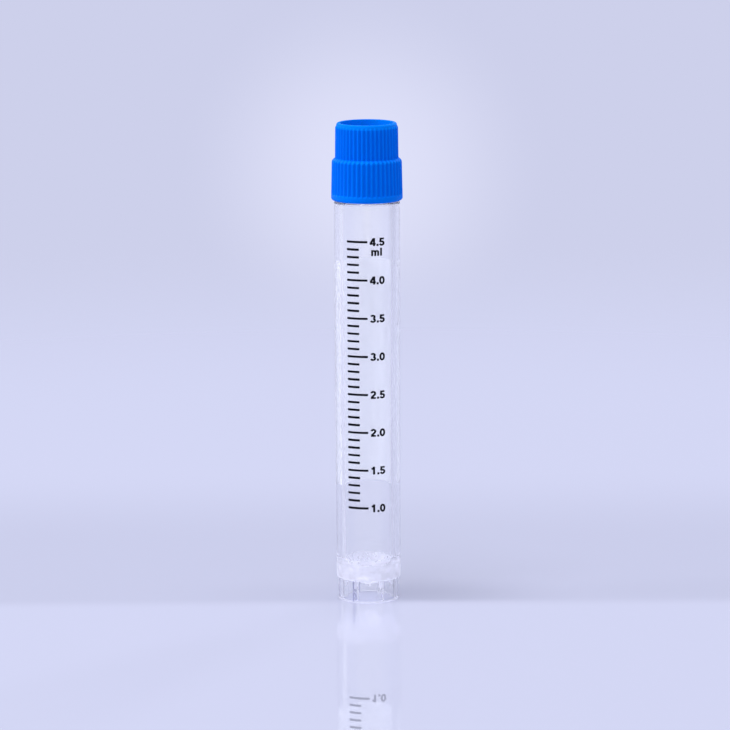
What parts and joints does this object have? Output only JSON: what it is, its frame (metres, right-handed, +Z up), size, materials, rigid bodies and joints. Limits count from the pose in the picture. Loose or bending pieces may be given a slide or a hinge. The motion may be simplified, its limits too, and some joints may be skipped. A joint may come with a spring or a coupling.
{
  "type": "cryovial",
  "caption": "Clear self-standing cryogenic vial with a round inner bottom, a blue ribbed screw cap with an open recess on top, and a silicone gasket.",
  "frame": {"origin": "centre of the base ring, on the surface that the vial stands on", "axes": "+Z up along the vial's axis, -Y towards the side that carries the scale"},
  "size_m": [0.0136, 0.0136, 0.092],
  "materials": {
    "tube": "clear, smooth",
    "cap": "satin",
    "gasket": "matt, slightly milky"
  },
  "bodies": {
    "vial": {"tube": "tube"},
    "lift": {"gasket": "gasket"},
    "cap": {"cap": "cap"}
  },
  "joints": [
    {"name": "cap_rise", "type": "slide", "parent": "vial", "child": "lift", "axis": [0, 0, 1], "range_m": [0, 0.00875]},
    {"name": "cap_turn", "type": "hinge", "parent": "lift", "child": "cap", "pos_m": [0, 0, 0.0848], "axis": [0, 0, 1], "range_deg": [0, 631]}
  ],
  "couplings": [
    {"joint": "cap_turn", "follows": "cap_rise", "rad_per_m": 1256.6}
  ]
}
